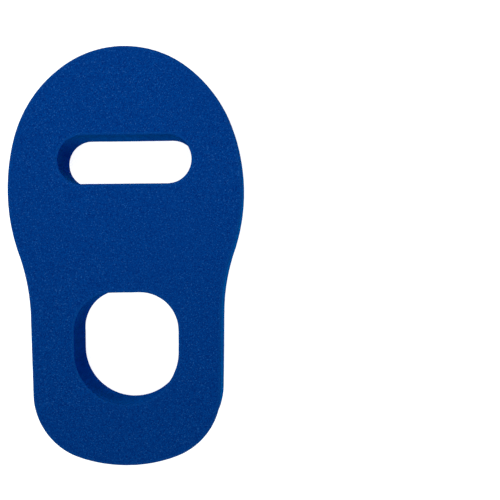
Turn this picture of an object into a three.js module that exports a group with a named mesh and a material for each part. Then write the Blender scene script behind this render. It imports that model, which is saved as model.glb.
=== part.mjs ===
// Foam glove for boxing exercises in water: one flat slab of thick closed-cell foam, worn on the hand.
// The slab is cut to a rounded outline, with a wide end in front of the fist, a waist, and a narrower
// round-cornered end over the wrist. The four fingers go through the long slot, and the palm and thumb
// come out of the large hand hole, so the hand grips the bar of foam that is left between the two.
// Millimetres. The slab lies on its back face: +Z up out of the front face, +Y towards the wide end,
// and the origin under its middle.

import * as THREE from 'three';

// Slab
const LENGTH = 280;
const THICKNESS = 38;
const EDGE_ROUNDING = 1.2;

// Radii of the arcs that make one side of the outline, from the wide end's tip to the narrow end's tip.
// All curve outwards but the waist.
const CROWN_RADIUS = 69.4;
const SHOULDER_RADIUS = 87;
const SIDE_RADIUS = 131.4;
const WAIST_RADIUS = 137;
const CORNER_RADIUS = 45.3;
const BASE_RADIUS = 96;

// Way that the outline faces where one arc runs into the next, in degrees above +X.
const CROWN_TO_SHOULDER = 54.6;
const SHOULDER_TO_SIDE = 15.4;
const SIDE_TO_WAIST = -19.1;
const TAPER = -1.3;

// Finger slot, with round ends; its middle is measured from the wide end's tip.
const SLOT_LENGTH = 89.4;
const SLOT_WIDTH = 32.4;
const SLOT_MIDDLE_FROM_TIP = 75.8;

// Hand hole, with two round corners towards the slot and a half circle towards the wrist.
const HAND_WIDTH = 69.3;
const HAND_HEIGHT = 74.2;
const HAND_CORNER_RADIUS = 25.6;
const HAND_TOP_FROM_TIP = 164.8;

// Fineness of the facets: steps along half an arc, and steps round an edge.
const ARC_STEPS = 10;
const EDGE_STEPS = 3;

const { degToRad, radToDeg } = THREE.MathUtils;

function towards(degrees) {
  return new THREE.Vector2(Math.cos(degToRad(degrees)), Math.sin(degToRad(degrees)));
}

function moved(point, degrees, distance) {
  return point.clone().addScaledVector(towards(degrees), distance);
}

// The right side as arcs, each starting where the last one ends and facing the same way there, except that
// a straight, tapering stretch joins the waist to the corner. Angles go down clockwise round each centre,
// and up only at the waist, which is hollow. The corner's arc touches the straight and the base's arc.
function rightSide() {
  const crown = new THREE.Vector2(0, LENGTH / 2 - CROWN_RADIUS);
  const shoulder = moved(crown, CROWN_TO_SHOULDER, CROWN_RADIUS - SHOULDER_RADIUS);
  const side = moved(shoulder, SHOULDER_TO_SIDE, SHOULDER_RADIUS - SIDE_RADIUS);
  const waist = moved(side, SIDE_TO_WAIST, SIDE_RADIUS + WAIST_RADIUS);
  const taperStart = moved(waist, TAPER, -WAIST_RADIUS);
  const base = new THREE.Vector2(0, BASE_RADIUS - LENGTH / 2);
  const reach = taperStart.clone().sub(base).dot(towards(TAPER)) - CORNER_RADIUS;
  const cornerToBase = TAPER - radToDeg(Math.acos(reach / (BASE_RADIUS - CORNER_RADIUS)));
  const corner = moved(base, cornerToBase, BASE_RADIUS - CORNER_RADIUS);
  return [
    { centre: crown, radius: CROWN_RADIUS, from: 90, to: CROWN_TO_SHOULDER },
    { centre: shoulder, radius: SHOULDER_RADIUS, from: CROWN_TO_SHOULDER, to: SHOULDER_TO_SIDE },
    { centre: side, radius: SIDE_RADIUS, from: SHOULDER_TO_SIDE, to: SIDE_TO_WAIST },
    { centre: waist, radius: WAIST_RADIUS, from: SIDE_TO_WAIST + 180, to: TAPER + 180 },
    { centre: corner, radius: CORNER_RADIUS, from: TAPER, to: cornerToBase },
    { centre: base, radius: BASE_RADIUS, from: cornerToBase, to: -90 },
  ];
}

// The same arcs on the left, run through from the narrow end's tip back to the wide end's tip.
function leftSide() {
  return rightSide().reverse().map(({ centre, radius, from, to }) => ({
    centre: new THREE.Vector2(-centre.x, centre.y),
    radius,
    from: 180 - to,
    to: 180 - from,
  }));
}

function outline() {
  const shape = new THREE.Shape();
  for (const { centre, radius, from, to } of [...rightSide(), ...leftSide()]) {
    const clockwise = to < from;
    shape.absarc(centre.x, centre.y, radius, degToRad(from), degToRad(to), clockwise);
  }
  return shape;
}

function fingerSlot() {
  const y = LENGTH / 2 - SLOT_MIDDLE_FROM_TIP;
  const endRadius = SLOT_WIDTH / 2;
  const endX = SLOT_LENGTH / 2 - endRadius;
  const path = new THREE.Path();
  path.absarc(endX, y, endRadius, degToRad(-90), degToRad(90));
  path.absarc(-endX, y, endRadius, degToRad(90), degToRad(270));
  return path.closePath();
}

function handHole() {
  const top = LENGTH / 2 - HAND_TOP_FROM_TIP;
  const bottomRadius = HAND_WIDTH / 2;
  const cornerX = bottomRadius - HAND_CORNER_RADIUS;
  const cornerY = top - HAND_CORNER_RADIUS;
  const bottomY = top - HAND_HEIGHT + bottomRadius;
  const path = new THREE.Path();
  path.absarc(cornerX, cornerY, HAND_CORNER_RADIUS, degToRad(0), degToRad(90));
  path.absarc(-cornerX, cornerY, HAND_CORNER_RADIUS, degToRad(90), degToRad(180));
  path.absarc(0, bottomY, bottomRadius, degToRad(180), degToRad(270));
  path.absarc(0, bottomY, bottomRadius, degToRad(270), degToRad(360));
  return path.closePath();
}

// The slab is cut right through by both openings, and all its edges are lightly rounded inside its size.
function foamGlove() {
  const shape = outline();
  shape.holes.push(fingerSlot(), handHole());
  const geometry = new THREE.ExtrudeGeometry(shape, {
    depth: THICKNESS - 2 * EDGE_ROUNDING,
    bevelThickness: EDGE_ROUNDING,
    bevelSize: EDGE_ROUNDING,
    bevelOffset: -EDGE_ROUNDING,
    bevelSegments: EDGE_STEPS,
    curveSegments: ARC_STEPS,
  });
  geometry.translate(0, 0, EDGE_ROUNDING);
  const foam = new THREE.MeshStandardMaterial({ color: 0x0a4aa8, roughness: 0.85, metalness: 0 });
  const mesh = new THREE.Mesh(geometry, foam);
  mesh.name = 'foam_glove';
  return mesh;
}

const glove = new THREE.Group();
glove.add(foamGlove());

export default glove;
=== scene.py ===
"""A foam glove for boxing exercises in water, lying on its back on a white table and seen from above."""
import random
from math import acos, cos, degrees, radians, sin

import bpy
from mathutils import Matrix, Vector, noise
from mathutils.geometry import delaunay_2d_cdt
from mathutils.kdtree import KDTree


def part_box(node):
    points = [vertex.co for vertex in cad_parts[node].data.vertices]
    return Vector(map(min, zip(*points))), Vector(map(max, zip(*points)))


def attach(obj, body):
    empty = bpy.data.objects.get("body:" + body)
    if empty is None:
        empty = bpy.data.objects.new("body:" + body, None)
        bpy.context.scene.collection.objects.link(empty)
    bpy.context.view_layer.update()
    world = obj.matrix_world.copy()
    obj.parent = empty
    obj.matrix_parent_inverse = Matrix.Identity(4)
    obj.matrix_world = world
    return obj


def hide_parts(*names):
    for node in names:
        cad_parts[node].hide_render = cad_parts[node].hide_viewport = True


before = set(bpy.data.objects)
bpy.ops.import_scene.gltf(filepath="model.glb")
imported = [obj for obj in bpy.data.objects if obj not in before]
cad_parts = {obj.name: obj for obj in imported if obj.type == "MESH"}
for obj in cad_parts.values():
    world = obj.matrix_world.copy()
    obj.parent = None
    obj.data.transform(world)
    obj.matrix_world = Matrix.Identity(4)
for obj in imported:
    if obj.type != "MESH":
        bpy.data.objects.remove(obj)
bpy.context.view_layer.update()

# Foam slab: the whole glove is one piece of closed-cell EVA foam, stamped out of a thick sheet with a steel
# cutting rule. The sheet's own skin is left on front and back. The outline, finger slot and hand hole are
# cut right through, and the rule draws the soft foam in a little, so the cut walls are slightly hollow.

glove_low, glove_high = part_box("foam_glove")
LENGTH = glove_high.y - glove_low.y
THICKNESS = glove_high.z - glove_low.z

# Radii of the arcs on one side of the outline, in metres. The waist's is negative, because it is hollow.
CROWN_RADIUS = 0.0694
SHOULDER_RADIUS = 0.087
SIDE_RADIUS = 0.1314
WAIST_RADIUS = -0.137
CORNER_RADIUS = 0.0453
BASE_RADIUS = 0.096

# Way that the outline faces where one arc runs into the next, in degrees above +X.
CROWN_TO_SHOULDER = 54.6
SHOULDER_TO_SIDE = 15.4
SIDE_TO_WAIST = -19.1
TAPER = -1.3

# Finger slot and hand hole. Their places along the slab are measured from the wide end's tip.
SLOT_LENGTH = 0.0894
SLOT_WIDTH = 0.0324
SLOT_MIDDLE_FROM_TIP = 0.0758
HAND_WIDTH = 0.0693
HAND_HEIGHT = 0.0742
HAND_CORNER_RADIUS = 0.0256
HAND_TOP_FROM_TIP = 0.1648

# Rounding of every edge, and how far the walls are drawn in at half their height.
EDGE_ROUNDING = 0.0012
WALL_HOLLOW = 0.00035

# Fineness of the mesh: steps round an edge, and the length of a step everywhere else.
EDGE_STEPS = 4
MESH_STEP = 0.0014


def facing(angle):
    """The way that an angle in degrees points, in plan."""
    return Vector((cos(radians(angle)), sin(radians(angle))))


def right_side():
    """The right side, from the narrow end's tip to the wide end's, as arcs of centre, radius and facings."""
    crown = Vector((0, glove_high.y - CROWN_RADIUS))
    shoulder = crown + (CROWN_RADIUS - SHOULDER_RADIUS) * facing(CROWN_TO_SHOULDER)
    side = shoulder + (SHOULDER_RADIUS - SIDE_RADIUS) * facing(SHOULDER_TO_SIDE)
    waist = side + (SIDE_RADIUS - WAIST_RADIUS) * facing(SIDE_TO_WAIST)
    taper_start = waist + WAIST_RADIUS * facing(TAPER)
    base = Vector((0, glove_low.y + BASE_RADIUS))
    reach = (taper_start - base).dot(facing(TAPER)) - CORNER_RADIUS
    corner_to_base = TAPER - degrees(acos(reach / (BASE_RADIUS - CORNER_RADIUS)))
    corner = base + (BASE_RADIUS - CORNER_RADIUS) * facing(corner_to_base)
    return [
        (base, BASE_RADIUS, -90, corner_to_base),
        (corner, CORNER_RADIUS, corner_to_base, TAPER),
        (waist, WAIST_RADIUS, TAPER, SIDE_TO_WAIST),
        (side, SIDE_RADIUS, SIDE_TO_WAIST, SHOULDER_TO_SIDE),
        (shoulder, SHOULDER_RADIUS, SHOULDER_TO_SIDE, CROWN_TO_SHOULDER),
        (crown, CROWN_RADIUS, CROWN_TO_SHOULDER, 90),
    ]


def outline():
    """Both sides, anticlockwise. The left one mirrors the right one."""
    right = right_side()
    left = []
    for centre, radius, start, end in reversed(right):
        left.append((Vector((-centre.x, centre.y)), radius, 180 - end, 180 - start))
    return right + left


def finger_slot():
    """The slot's round ends, clockwise. The foam there faces the middle of the slot."""
    end_radius = SLOT_WIDTH / 2
    end_x = SLOT_LENGTH / 2 - end_radius
    middle_y = glove_high.y - SLOT_MIDDLE_FROM_TIP
    return [
        (Vector((end_x, middle_y)), -end_radius, 270, 90),
        (Vector((-end_x, middle_y)), -end_radius, 90, -90),
    ]


def hand_hole():
    """The hole's two corners towards the slot and its half circle towards the wrist, clockwise."""
    bottom_radius = HAND_WIDTH / 2
    top_y = glove_high.y - HAND_TOP_FROM_TIP
    corner_x = bottom_radius - HAND_CORNER_RADIUS
    corner_y = top_y - HAND_CORNER_RADIUS
    bottom = Vector((0, top_y - HAND_HEIGHT + bottom_radius))
    return [
        (Vector((corner_x, corner_y)), -HAND_CORNER_RADIUS, 270, 180),
        (bottom, -bottom_radius, 180, 0),
        (Vector((-corner_x, corner_y)), -HAND_CORNER_RADIUS, 360, 270),
    ]


def walked(arcs):
    """Points at even steps round a closed run of arcs and the straights between them, with their facings."""
    points = []
    for (centre, radius, start, end), following in zip(arcs, arcs[1:] + arcs[:1]):
        count = max(round(abs(radius * radians(end - start)) / MESH_STEP), 1)
        for i in range(count):
            way = facing(start + (end - start) * i / count)
            points.append((centre + radius * way, way))
        here = centre + radius * facing(end)
        there = following[0] + following[1] * facing(following[2])
        count = round((there - here).length / MESH_STEP)
        points += [(here.lerp(there, i / count), facing(end)) for i in range(count)]
    return points


def wall_rows():
    """Rows of the wall from the back face to the front face, as how far in from the outline and how high."""
    quarter = [radians(90 * i / EDGE_STEPS) for i in range(EDGE_STEPS + 1)]
    lower = [(EDGE_ROUNDING * (1 - sin(a)), EDGE_ROUNDING * (1 - cos(a))) for a in quarter]
    upper = [(inset, THICKNESS - z) for inset, z in reversed(lower)]
    half = THICKNESS / 2 - EDGE_ROUNDING
    count = round(2 * half / MESH_STEP)
    straight = []
    for i in range(1, count):
        across = 2 * i / count - 1
        straight.append((WALL_HOLLOW * (1 - across * across), THICKNESS / 2 + half * across))
    return lower + straight + upper


# The points of a flat face stand in staggered rows. Each is moved at random by up to a share of the mesh's
# step, so that the rows don't show, and none lies nearer the rim than another share of it.
RANDOM_SHARE = 0.12
RANDOM_SEED = 5
RIM_SHARE = 0.7

# Points nearer to each other than this count as one, and the net is first made over its whole hull.
SAME_POINT = 1e-7
WHOLE_HULL = 0


def cap(loops):
    """Inner points and triangles of a flat face between the loops, and a measure of depth in the foam.

    The triangles' numbers count the points of the loops first, and the inner points after them.
    """
    rim = [(point - EDGE_ROUNDING * way, way) for loop in loops for point, way in loop]
    tree = KDTree(len(rim))
    for i, (point, way) in enumerate(rim):
        tree.insert(point.to_3d(), i)
    tree.balance()

    def depth(place):
        """How deep in the foam a place lies, counted from the nearest point of the rim."""
        nearest, i, _ = tree.find(place.to_3d())
        return (nearest.to_2d() - place).dot(rim[i][1])

    shuffle = random.Random(RANDOM_SEED)
    inner = []
    row_height = MESH_STEP * sin(radians(60))
    for row in range(int(LENGTH / row_height) + 1):
        y = glove_low.y + row * row_height
        for column in range(int((glove_high.x - glove_low.x) / MESH_STEP) + 1):
            x = glove_low.x + (column + row % 2 / 2) * MESH_STEP
            jitter = Vector((shuffle.uniform(-1, 1), shuffle.uniform(-1, 1))) * MESH_STEP * RANDOM_SHARE
            place = Vector((x, y)) + jitter
            if depth(place) > MESH_STEP * RIM_SHARE:
                inner.append(place)
    edges = []
    start = 0
    for loop in loops:
        edges += [(start + i, start + (i + 1) % len(loop)) for i in range(len(loop))]
        start += len(loop)
    places = [point for point, way in rim] + inner
    made, _, triangles, came_from, _, _ = delaunay_2d_cdt(places, edges, [], WHOLE_HULL, SAME_POINT)
    numbers = [origins[0] for origins in came_from]
    in_foam = []
    for triangle in triangles:
        middle = sum((made[i] for i in triangle), Vector((0, 0))) / 3
        if depth(middle) > 0:
            in_foam.append([numbers[i] for i in triangle])
    return inner, in_foam, depth


# The slab's two materials, in the order in which it gets them.
SKIN_INDEX = 0
CUT_INDEX = 1
MM_PER_METRE = 1000


def slab_mesh():
    """The closed slab: stacked loops for the walls, and the same net of triangles on front and back."""
    loops = [walked(outline()), walked(finger_slot()), walked(hand_hole())]
    rows = wall_rows()
    rim_count = sum(len(loop) for loop in loops)
    inner, triangles, depth = cap(loops)
    rim = [(point, way) for loop in loops for point, way in loop]
    places = []
    for inset, z in rows:
        places += [(point - inset * way).to_3d() + Vector((0, 0, z)) for point, way in rim]
    back_start = len(places)
    places += [Vector((p.x, p.y, 0)) for p in inner]
    front_start = len(places)
    places += [Vector((p.x, p.y, THICKNESS)) for p in inner]

    faces = []
    band_count = len(rows) - 1
    for band in range(band_count):
        start = band * rim_count
        for loop in loops:
            for i in range(len(loop)):
                here = start + i
                beside = start + (i + 1) % len(loop)
                faces.append((here, beside, beside + rim_count, here + rim_count))
            start += len(loop)
    wall_count = len(faces)
    top_start = band_count * rim_count
    for triangle in triangles:
        back = [i if i < rim_count else back_start + i - rim_count for i in triangle]
        front = [i + top_start if i < rim_count else front_start + i - rim_count for i in triangle]
        faces.append(back[::-1])
        faces.append(front)
    mesh = bpy.data.meshes.new("foam_slab")
    mesh.from_pydata(places, [], faces)

    # The skin reaches halfway round the edges, and the cut shows from there.
    skin_bands = EDGE_STEPS // 2
    for number, polygon in enumerate(mesh.polygons):
        band = number // rim_count
        is_cut = number < wall_count and skin_bands <= band < band_count - skin_bands
        polygon.material_index = CUT_INDEX if is_cut else SKIN_INDEX
        polygon.use_smooth = True

    # How far each point lies from the rounding of the nearest edge, over the surface, in millimetres.
    edge_distance = mesh.attributes.new("edge_distance", "FLOAT", "POINT")
    for i, place in enumerate(places):
        if i < back_start:
            row_z = rows[i // rim_count][1]
            distance = max(min(row_z, THICKNESS - row_z) - EDGE_ROUNDING, 0)
        else:
            distance = depth(place.to_2d())
        edge_distance.data[i].value = distance * MM_PER_METRE

    # Which points lie on the walls of the slot and the hole, and not on the outer wall.
    in_opening = mesh.attributes.new("in_opening", "FLOAT", "POINT")
    for i in range(back_start):
        in_opening.data[i].value = float(i % rim_count >= len(loops[0]))
    return mesh


# The sheet is not dead flat, its skin ripples slightly, and the rule leaves faint lines down the walls. A
# line's slimness is its width as a share of its length.
SHEET_WAVE_LENGTH = 0.045
SHEET_WAVE_HEIGHT = 0.00022
SKIN_RIPPLE_LENGTH = 0.0045
SKIN_RIPPLE_HEIGHT = 0.00005
RULE_LINE_WIDTH = 0.003
RULE_LINE_DEPTH = 0.00007
RULE_LINE_SLIMNESS = 0.08


def give_relief(mesh):
    """Moves each point along its normal, by the wave, the ripples of the skin and the lines of the walls."""
    mesh.update()
    normals = [vertex.normal.copy() for vertex in mesh.vertices]
    for vertex, normal in zip(mesh.vertices, normals):
        place = vertex.co
        flat = abs(normal.z)
        stretched = Vector((place.x, place.y, place.z * RULE_LINE_SLIMNESS))
        wave = SHEET_WAVE_HEIGHT * noise.noise(place / SHEET_WAVE_LENGTH)
        ripple = SKIN_RIPPLE_HEIGHT * noise.noise(place / SKIN_RIPPLE_LENGTH) * flat
        line = RULE_LINE_DEPTH * noise.noise(stretched / RULE_LINE_WIDTH) * (1 - flat)
        vertex.co = place + normal * (wave + ripple + line)
        vertex.co.z = max(vertex.co.z, 0)


def linear(colour):
    """An sRGB hex value as linear red, green, blue and alpha."""
    channels = [int(colour[i:i + 2], 16) / 255 for i in (1, 3, 5)]
    return [c / 12.92 if c <= 0.04045 else ((c + 0.055) / 1.055) ** 2.4 for c in channels] + [1]


def add(tree, kind, settings, links={}):
    """Adds a node, sets its sockets and properties, and links its sockets to others."""
    node = tree.nodes.new("ShaderNode" + kind)
    for name, value in settings.items():
        if isinstance(name, int) or name in node.inputs:
            node.inputs[name].default_value = value
        else:
            setattr(node, name, value)
    for name, source in links.items():
        tree.links.new(source, node.inputs[name])
    return node


def new_material(name):
    """A material with an empty node tree, and that tree."""
    material = bpy.data.materials.new(name)
    material.use_nodes = True
    material.node_tree.nodes.clear()
    return material, material.node_tree


# EVA foam's moulded skin: a matte royal blue, finely pebbled all over by the cells under it. The pebble tops
# are paler and the creases darker, partly the foam's own mottled tone and partly painted light and painted
# shade of the pebbles. The rounded edges are paler too, partly wear and partly a painted highlight where the
# surface turns, and here and there a pebble stands out as a light speck, a painted glint. The pebbles are
# drawn as fine as the picture can show them.
PEBBLE_SIZE = 0.0006
PEBBLE_HEIGHT = 0.00004
CREASE_SPACING = 0.0013
CREASE_SHARE = 0.15
GLINT_SPACING = 0.0009
CLOUD_SIZE = 0.05
WEAR_AND_HIGHLIGHT_EDGE_MM = 0.9
FOAM_IOR = 1.49

skin, tree = new_material("eva_foam_moulded_skin")
place = add(tree, "TexCoord", {}).outputs["Object"]
pebbles = add(
    tree, "TexNoise", {"Scale": 1 / PEBBLE_SIZE, "Detail": 2.0, "Roughness": 0.6}, {"Vector": place}
)
creases = add(tree, "TexVoronoi", {"feature": "F1", "Scale": 1 / CREASE_SPACING}, {"Vector": place})
glint_noise = add(tree, "TexNoise", {"Scale": 1 / GLINT_SPACING, "Detail": 1.0}, {"Vector": place})
clouds = add(tree, "TexNoise", {"Scale": 1 / CLOUD_SIZE, "Detail": 2.0}, {"Vector": place})
height = add(
    tree, "Math", {"operation": "MULTIPLY_ADD", 1: -CREASE_SHARE},
    {0: creases.outputs["Distance"], 2: pebbles.outputs[0]},
)
# Paler on the pebble tops and darker in the creases: the foam's own tone with painted light and painted
# shade of the relief.
top_share = add(tree, "MapRange", {"From Min": 0.2, "From Max": 0.65}, {"Value": height.outputs[0]})
pebble_tone_and_painted_shade = add(
    tree, "Mix", {"data_type": "RGBA", 6: linear("#001c64"), 7: linear("#004190")},
    {"Factor": top_share.outputs[0]},
)
# Light specks here and there: painted glints on the skin.
painted_glint_share = add(
    tree, "MapRange", {"From Min": 0.6, "From Max": 0.74, "To Max": 0.75}, {"Value": glint_noise.outputs[0]}
)
painted_glint_colour = add(
    tree, "Mix", {"data_type": "RGBA", 7: linear("#2459a2")},
    {"Factor": painted_glint_share.outputs[0], 6: pebble_tone_and_painted_shade.outputs[2]},
)
cloud_share = add(tree, "MapRange", {"To Max": 0.16}, {"Value": clouds.outputs[0]})
cloud_colour = add(
    tree, "Mix", {"data_type": "RGBA", 7: linear("#002f74")},
    {"Factor": cloud_share.outputs[0], 6: painted_glint_colour.outputs[2]},
)
# Paler within this distance of the rounded edges: partly wear, partly a painted highlight where the surface
# turns.
edge = add(tree, "Attribute", {"attribute_name": "edge_distance"})
wear_and_highlight_share = add(
    tree, "MapRange", {"From Max": WEAR_AND_HIGHLIGHT_EDGE_MM, "To Min": 0.3, "To Max": 0.0},
    {"Value": edge.outputs["Fac"]},
)
skin_colour = add(
    tree, "Mix", {"data_type": "RGBA", 7: linear("#06458d")},
    {"Factor": wear_and_highlight_share.outputs[0], 6: cloud_colour.outputs[2]},
)
skin_roughness = add(tree, "MapRange", {"To Min": 0.95, "To Max": 0.8}, {"Value": top_share.outputs[0]})
skin_bump = add(tree, "Bump", {"Strength": 0.6, "Distance": PEBBLE_HEIGHT}, {"Height": height.outputs[0]})
shader = add(
    tree, "BsdfPrincipled", {"IOR": FOAM_IOR, "Specular IOR Level": 0.01},
    {"Base Color": skin_colour.outputs[2], "Roughness": skin_roughness.outputs[0],
     "Normal": skin_bump.outputs[0]},
)
add(tree, "OutputMaterial", {}, {"Surface": shader.outputs[0]})

# EVA foam's cut wall: the rule opens the small closed cells, so the wall is dead matte and finely pitted,
# with a soft bloom where it is seen along and faint lines down it. Its blue is a little greener than the
# skin's. An opening's wall is painted deeper where it runs along the slab, as painted shade, and paler where
# it runs across, as painted light.
# The cells are about 0.5 mm wide, and are drawn at 0.7 mm so that they show.
CELL_WIDTH = 0.0007
CELL_DEPTH = 0.00006
FINE_LINE_WIDTH = 0.0022
FINE_LINE_DEPTH = 0.00003
FINE_LINE_SLIMNESS = 0.06
LIT_TONE_SHARE = 0.42

cut, tree = new_material("eva_foam_cut_wall")
coordinates = add(tree, "TexCoord", {})
place = coordinates.outputs["Object"]
cells = add(tree, "TexVoronoi", {"feature": "F1", "Scale": 1 / CELL_WIDTH}, {"Vector": place})
pits = add(tree, "MapRange", {"From Min": 0.25, "From Max": 0.65}, {"Value": cells.outputs["Distance"]})
down = add(tree, "Mapping", {"Scale": (1, 1, FINE_LINE_SLIMNESS)}, {"Vector": place})
lines = add(tree, "TexNoise", {"Scale": 1 / FINE_LINE_WIDTH, "Detail": 3.0}, {"Vector": down.outputs[0]})
# Deep and pale tones of the cut foam: the deep one is painted shade and the pale one painted light.
shaded_cut_colour = add(
    tree, "Mix", {"data_type": "RGBA", 6: linear("#001f66"), 7: linear("#00318e")},
    {"Factor": pits.outputs[0]},
)
lit_cut_colour = add(
    tree, "Mix", {"data_type": "RGBA", 6: linear("#003d75"), 7: linear("#005da6")},
    {"Factor": pits.outputs[0]},
)

# Where a wall runs across the slab, the squared Y of its normal is near 1. An opening's wall gets the paler
# tone, painted light, by that measure, and keeps the deeper tone, painted shade, where it runs along the
# slab.
# The outer wall has the same share of the paler tone all round.
facing_way = add(tree, "SeparateXYZ", {}, {0: coordinates.outputs["Normal"]})
across = add(tree, "Math", {"operation": "POWER", 1: 2.0}, {0: facing_way.outputs["Y"]})
across_lit_share = add(tree, "MapRange", {"From Min": 0.1, "To Max": LIT_TONE_SHARE}, {"Value": across.outputs[0]})
in_opening = add(tree, "Attribute", {"attribute_name": "in_opening"})
painted_light_share = add(
    tree, "MapRange", {"To Min": LIT_TONE_SHARE},
    {"Value": in_opening.outputs["Fac"], "To Max": across_lit_share.outputs[0]},
)
shaded_and_lit_cut_colour = add(
    tree, "Mix", {"data_type": "RGBA"},
    {"Factor": painted_light_share.outputs[0], 6: shaded_cut_colour.outputs[2], 7: lit_cut_colour.outputs[2]},
)
line_share = add(
    tree, "MapRange", {"From Min": 0.45, "From Max": 0.75, "To Max": 0.6}, {"Value": lines.outputs[0]}
)
wall_colour = add(
    tree, "Mix", {"data_type": "RGBA", "blend_type": "MULTIPLY", 7: linear("#b4bede")},
    {"Factor": line_share.outputs[0], 6: shaded_and_lit_cut_colour.outputs[2]},
)
line_bump = add(tree, "Bump", {"Distance": FINE_LINE_DEPTH}, {"Height": lines.outputs[0]})
cut_bump = add(
    tree, "Bump", {"Distance": CELL_DEPTH}, {"Height": pits.outputs[0], "Normal": line_bump.outputs[0]}
)
shader = add(
    tree, "BsdfPrincipled",
    {"IOR": FOAM_IOR, "Roughness": 0.95, "Specular IOR Level": 0.0,
     "Sheen Weight": 0.12, "Sheen Roughness": 0.18, "Sheen Tint": linear("#00b8ff")},
    {"Base Color": wall_colour.outputs[2], "Normal": cut_bump.outputs[0]},
)
add(tree, "OutputMaterial", {}, {"Surface": shader.outputs[0]})

slab_data = slab_mesh()
give_relief(slab_data)
slab_data.materials.append(skin)
slab_data.materials.append(cut)
slab = bpy.data.objects.new("foam_slab", slab_data)
bpy.context.scene.collection.objects.link(slab)
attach(slab, "root")
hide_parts("foam_glove")

# Table: a plain white sheet of acrylic, lit from below, as for pictures on white. It lights the walls from
# beside them, and it stays white in the shade of the openings.
TABLE_SIZE = 3.0
TABLE_GLOW = 0.87

acrylic, tree = new_material("white_acrylic_table")
shader = add(
    tree, "BsdfPrincipled",
    {"Base Color": linear("#c8c9ca"), "Roughness": 0.8, "Specular IOR Level": 0.1,
     "Emission Color": linear("#ffffff"), "Emission Strength": TABLE_GLOW},
)
add(tree, "OutputMaterial", {}, {"Surface": shader.outputs[0]})

reach = TABLE_SIZE / 2
corners = [(-reach, -reach, 0), (reach, -reach, 0), (reach, reach, 0), (-reach, reach, 0)]
table_data = bpy.data.meshes.new("table")
table_data.from_pydata(corners, [], [(0, 1, 2, 3)])
table_data.materials.append(acrylic)
table = bpy.data.objects.new("table", table_data)
bpy.context.scene.collection.objects.link(table)

# Studio light: soft boxes past the wide end at the left and past the narrow end, a low one at the right that
# lights the outer wall more than the openings, and a small one close over the wide end. All but that one are
# a touch green. The room shows white behind the table but adds little light.
ROOM_LIGHT = 0.06

world = bpy.data.worlds.new("white_room")
bpy.context.scene.world = world
world.use_nodes = True
tree = world.node_tree
tree.nodes.clear()
seen = add(tree, "LightPath", {}).outputs["Is Camera Ray"]
strength = add(tree, "MapRange", {"To Min": ROOM_LIGHT, "To Max": 1.0}, {"Value": seen})
room = add(tree, "Background", {"Color": linear("#ffffff")}, {"Strength": strength.outputs[0]})
add(tree, "OutputWorld", {}, {"Surface": room.outputs[0]})


def soft_box(name, place, aim, size, power, colour):
    """A square light, in metres and watts, turned towards its aim and not seen itself."""
    light = bpy.data.lights.new(name, "AREA")
    light.shape = "SQUARE"
    light.size = size
    light.energy = power
    light.color = linear(colour)[:3]
    lamp = bpy.data.objects.new(name, light)
    lamp.location = place
    lamp.rotation_euler = (Vector(aim) - Vector(place)).to_track_quat("-Z", "Y").to_euler()
    lamp.visible_camera = False
    bpy.context.scene.collection.objects.link(lamp)


soft_box(
    "box_far_left", place=(-1.41, 1.57, 0.77), aim=(0, 0, 0), size=1.2, power=25.6, colour="#f3fff3"
)
soft_box(
    "box_narrow_end", place=(0, -1.93, 2.3), aim=(0, 0, 0), size=1.6, power=57.0, colour="#f3fff3"
)
soft_box(
    "box_right", place=(2.0, 0, 0.42), aim=(0, 0, 0.02), size=0.6, power=8.6, colour="#ecfff6"
)
soft_box(
    "box_over_wide_end", place=(-0.01, 0.14, 0.35), aim=(0, 0.06, 0.04), size=0.2, power=0.54,
    colour="#ffffff",
)

# Camera: straight above the table, to the right of the glove, which is why its right wall and the left walls
# of the openings show. The picture takes in 333 mm at the height of the glove's front face. The turn is in
# radians, and the shift is a share of the picture's width.
CAMERA_ABOVE_FACE = 0.611
CAMERA_X = 0.09985
CAMERA_Y = 0.0026
CAMERA_TURN = -0.0108
VIEW_WIDTH = 0.3331
VIEW_SHIFT = -0.0504
SENSOR_MM = 36.0

camera_data = bpy.data.cameras.new("camera")
camera_data.sensor_width = SENSOR_MM
camera_data.lens = SENSOR_MM * CAMERA_ABOVE_FACE / VIEW_WIDTH
camera_data.shift_x = VIEW_SHIFT
camera = bpy.data.objects.new("camera", camera_data)
camera.location = (CAMERA_X, CAMERA_Y, THICKNESS + CAMERA_ABOVE_FACE)
camera.rotation_euler = (0, 0, CAMERA_TURN)
bpy.context.scene.collection.objects.link(camera)
bpy.context.scene.camera = camera
bpy.context.scene.view_settings.view_transform = "Standard"
